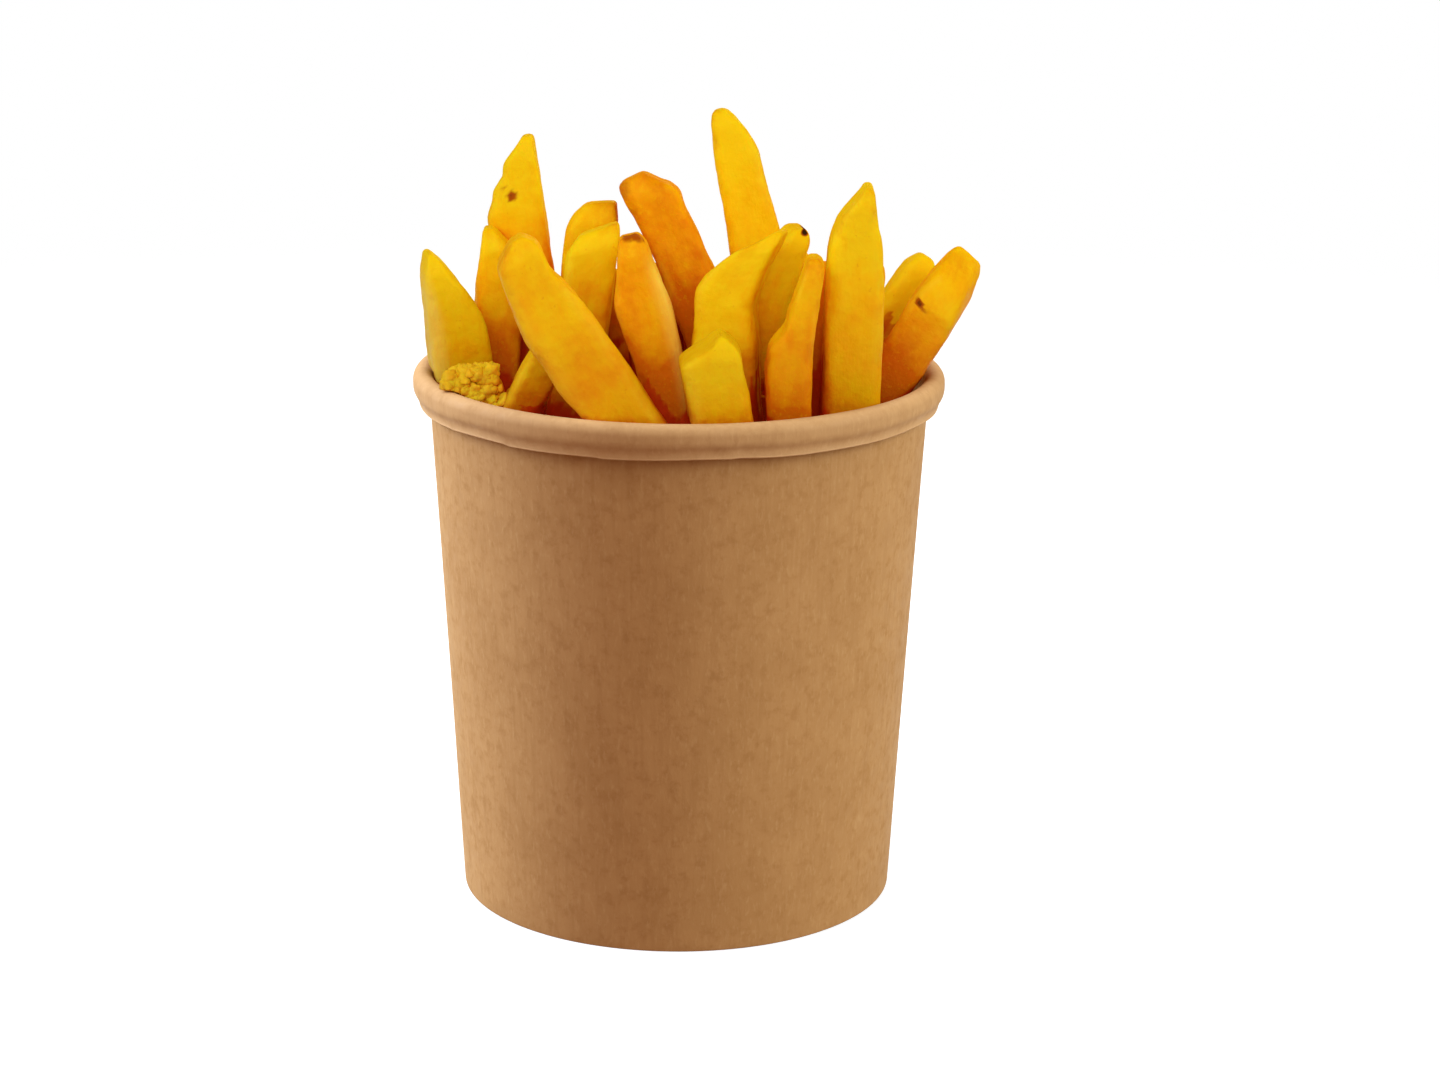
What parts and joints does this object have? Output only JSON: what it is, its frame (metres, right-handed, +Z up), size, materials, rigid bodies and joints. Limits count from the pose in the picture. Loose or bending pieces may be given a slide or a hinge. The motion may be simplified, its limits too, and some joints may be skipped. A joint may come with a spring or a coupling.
{
  "type": "french fries in a carton",
  "caption": "Round kraft paper tub with a flared wall and rolled rim, heaped with thick-cut french fries that stand up out of it.",
  "frame": {"origin": "middle of the whole object's box, at the plane that the tub stands on", "axes": "+Z up along the tub's axis, +X to the right and +Y away from the side that the picture shows"},
  "size_m": [0.1045, 0.098, 0.1446],
  "materials": {
    "kraft_wall": "matt uncoated brown kraft paperboard with fine fibres",
    "kraft_base": "matt uncoated brown kraft paperboard",
    "fried_potato": "golden fried potato with a thin oily crust, browned at edges and tips"
  },
  "bodies": {
    "root": {"tub_wall": "kraft_wall", "tub_base": "kraft_base", "fries": "fried_potato"}
  },
  "joints": []
}
